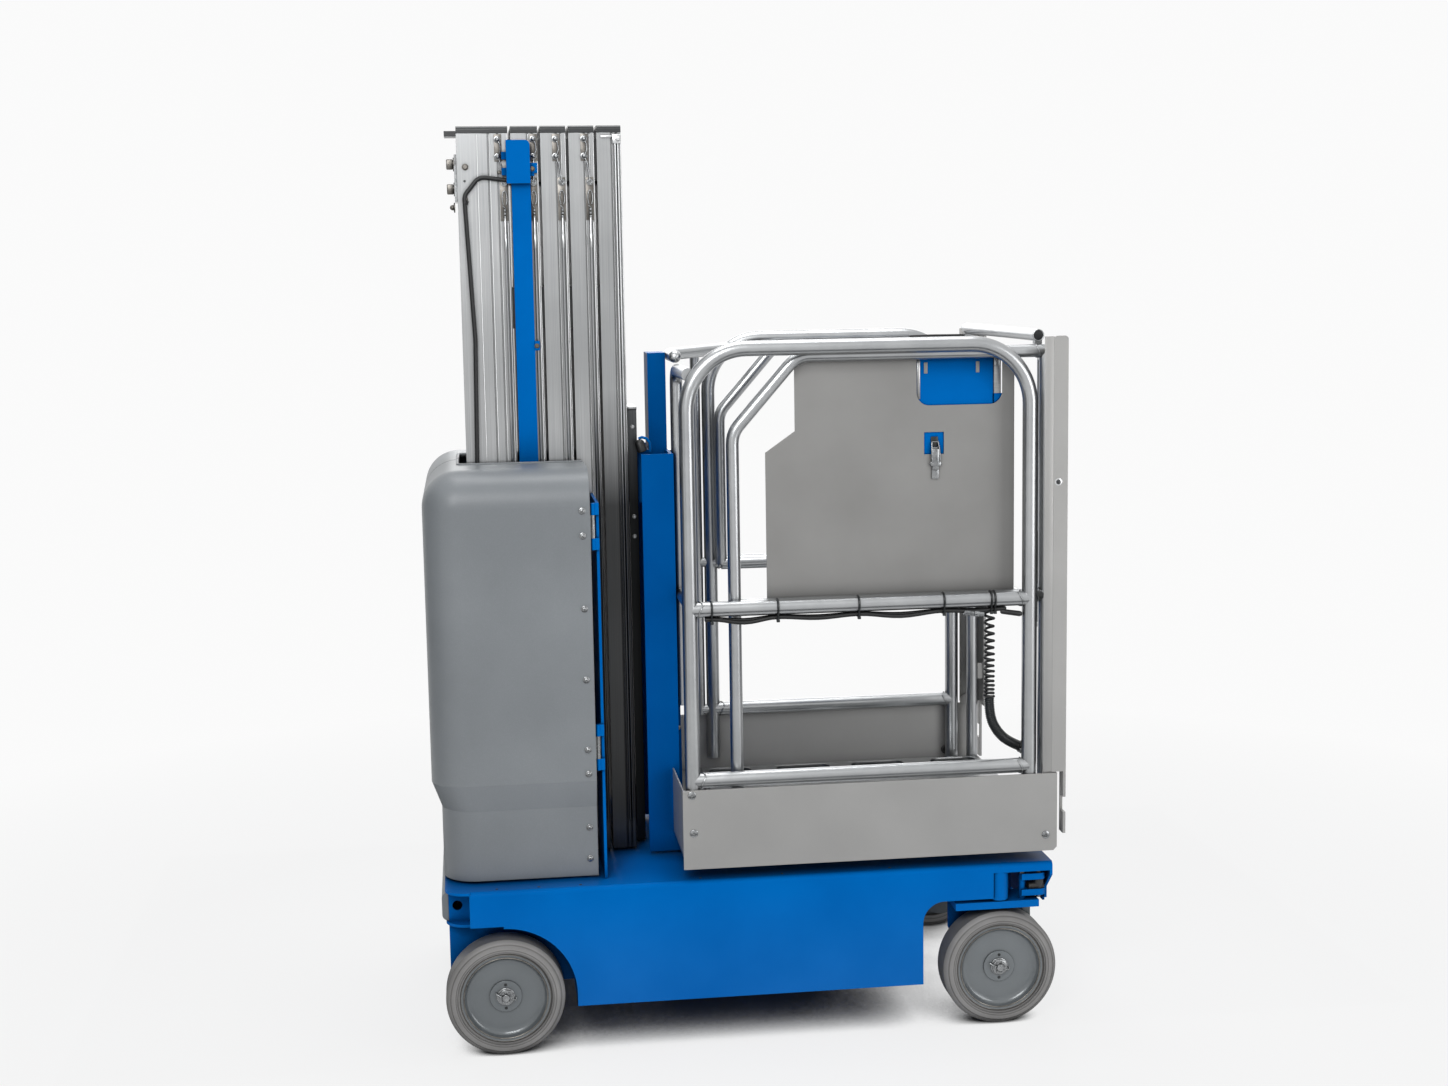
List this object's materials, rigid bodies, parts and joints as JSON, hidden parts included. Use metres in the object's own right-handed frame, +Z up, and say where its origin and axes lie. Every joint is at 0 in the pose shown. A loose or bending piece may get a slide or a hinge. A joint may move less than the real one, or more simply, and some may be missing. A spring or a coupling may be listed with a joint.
{
  "type": "vertical mast lift",
  "caption": "Self-propelled vertical mast lift with a nested aluminium mast, moulded base cover, steered wheels and a railed platform with a sliding extension and entry rail.",
  "frame": {"origin": "on the ground under the middle of the machine's overall box", "axes": "+X along the machine from the mast to the platform's entry, +Y across it, +Z up"},
  "size_m": [1.384, 0.75, 1.992],
  "materials": {
    "blue_paint": "gloss powder coat",
    "grey_moulding": "fine grained moulded",
    "grey_sheet": "satin powder coat",
    "bare_aluminium": "drawn tube and extrusion",
    "grey_tyre": "non-marking solid rubber",
    "grey_hub": "painted casting",
    "black_plastic": "matte",
    "black_rubber": "matte",
    "bright_steel": "zinc plated",
    "dark_steel": "satin black",
    "grey_block": "satin machine grey"
  },
  "bodies": {
    "chassis": {"chassis_shell": "blue_paint", "chassis_frame": "blue_paint", "mast_support": "blue_paint", "mast_guide_bar": "blue_paint", "mast_rear_plate": "bright_steel", "mast_lead": "black_rubber", "heavy_blocks": "grey_block", "rear_axle": "dark_steel", "rear_bumper": "grey_hub", "mast_column_1": "bare_aluminium", "mast_cap_1": "black_plastic", "slide_pads_1": "black_plastic"},
    "mast_2": {"mast_column_2": "bare_aluminium", "mast_cap_2": "black_plastic", "slide_pads_2": "black_plastic"},
    "mast_3": {"mast_column_3": "bare_aluminium", "mast_cap_3": "black_plastic", "slide_pads_3": "black_plastic"},
    "mast_4": {"mast_column_4": "bare_aluminium", "mast_cap_4": "black_plastic", "slide_pads_4": "black_plastic"},
    "mast_5": {"mast_column_5": "bare_aluminium", "mast_cap_5": "black_plastic"},
    "platform": {"carriage_frame": "blue_paint", "carriage_slide": "dark_steel", "slide_strips": "black_plastic", "platform_floor": "bare_aluminium", "guard_rails": "bare_aluminium", "mast_side_rails": "bare_aluminium", "toe_boards": "grey_sheet", "rail_cables": "black_rubber", "coil_lead": "black_rubber", "conduit": "black_rubber"},
    "extension": {"extension_deck": "bare_aluminium", "extension_rails": "bare_aluminium", "entry_top_bar": "bare_aluminium", "entry_guides": "bare_aluminium", "end_posts": "grey_sheet", "side_panel": "grey_sheet", "control_box": "blue_paint"},
    "entry_rail": {"entry_mid_rail": "bare_aluminium"},
    "cover_near": {"base_cover_near": "grey_moulding", "cover_hinges_near": "bright_steel"},
    "yoke_near": {"steering_yoke_near": "blue_paint", "drive_motor_near": "grey_block"},
    "wheel_rear_near": {"tyre_rear_near": "grey_tyre", "hub_rear_near": "grey_hub"},
    "wheel_front_near": {"tyre_front_near": "grey_tyre", "hub_front_near": "grey_hub"},
    "cover_far": {"base_cover_far": "grey_moulding", "cover_hinges_far": "bright_steel"},
    "yoke_far": {"steering_yoke_far": "blue_paint", "drive_motor_far": "grey_block"},
    "wheel_rear_far": {"tyre_rear_far": "grey_tyre", "hub_rear_far": "grey_hub"},
    "wheel_front_far": {"tyre_front_far": "grey_tyre", "hub_front_far": "grey_hub"},
    "tie_rod": {"steering_link": "dark_steel"}
  },
  "joints": [
    {"name": "wheel_rear_near_spin", "type": "hinge", "parent": "chassis", "child": "wheel_rear_near", "pos_m": [-0.548, -0.337, 0.128], "axis": [0, 1, 0], "continuous": true},
    {"name": "steer_near", "type": "hinge", "parent": "chassis", "child": "yoke_near", "pos_m": [0.546, -0.35, 0.128], "axis": [0, 0, 1], "range_deg": [-55, 55]},
    {"name": "wheel_front_near_spin", "type": "hinge", "parent": "yoke_near", "child": "wheel_front_near", "pos_m": [0.546, -0.337, 0.128], "axis": [0, 1, 0], "continuous": true},
    {"name": "wheel_rear_far_spin", "type": "hinge", "parent": "chassis", "child": "wheel_rear_far", "pos_m": [-0.548, 0.337, 0.128], "axis": [0, 1, 0], "continuous": true},
    {"name": "steer_far", "type": "hinge", "parent": "chassis", "child": "yoke_far", "pos_m": [0.546, 0.35, 0.128], "axis": [0, 0, 1], "range_deg": [-55, 55]},
    {"name": "wheel_front_far_spin", "type": "hinge", "parent": "yoke_far", "child": "wheel_front_far", "pos_m": [0.546, 0.337, 0.128], "axis": [0, 1, 0], "continuous": true},
    {"name": "tie_rod_pivot", "type": "hinge", "parent": "yoke_near", "child": "tie_rod", "pos_m": [0.638, -0.35, 0.313], "axis": [0, 0, 1], "range_deg": [-55, 55]},
    {"name": "mast_2_lift", "type": "slide", "parent": "chassis", "child": "mast_2", "axis": [0, 0, 1], "range_m": [0, 1.12]},
    {"name": "mast_3_lift", "type": "slide", "parent": "mast_2", "child": "mast_3", "axis": [0, 0, 1], "range_m": [0, 1.12]},
    {"name": "mast_4_lift", "type": "slide", "parent": "mast_3", "child": "mast_4", "axis": [0, 0, 1], "range_m": [0, 1.12]},
    {"name": "mast_5_lift", "type": "slide", "parent": "mast_4", "child": "mast_5", "axis": [0, 0, 1], "range_m": [0, 1.12]},
    {"name": "platform_lift", "type": "slide", "parent": "mast_5", "child": "platform", "axis": [0, 0, 1], "range_m": [0, 1.12]},
    {"name": "extension_slide", "type": "slide", "parent": "platform", "child": "extension", "axis": [1, 0, 0], "range_m": [0, 0.51]},
    {"name": "entry_rail_lift", "type": "slide", "parent": "extension", "child": "entry_rail", "axis": [0, 0, 1], "range_m": [0, 0.5]},
    {"name": "cover_near_swing", "type": "hinge", "parent": "chassis", "child": "cover_near", "pos_m": [-0.332, -0.322, 0.9], "axis": [0, 0, 1], "range_deg": [0, 100]},
    {"name": "cover_far_swing", "type": "hinge", "parent": "chassis", "child": "cover_far", "pos_m": [-0.332, 0.322, 0.9], "axis": [0, 0, 1], "range_deg": [-100, 0]}
  ],
  "couplings": [
    {"joint": "mast_3_lift", "follows": "mast_2_lift", "ratio": 1},
    {"joint": "mast_4_lift", "follows": "mast_2_lift", "ratio": 1},
    {"joint": "mast_5_lift", "follows": "mast_2_lift", "ratio": 1},
    {"joint": "platform_lift", "follows": "mast_2_lift", "ratio": 1},
    {"joint": "steer_far", "follows": "steer_near", "ratio": 1},
    {"joint": "tie_rod_pivot", "follows": "steer_near", "ratio": -1}
  ]
}
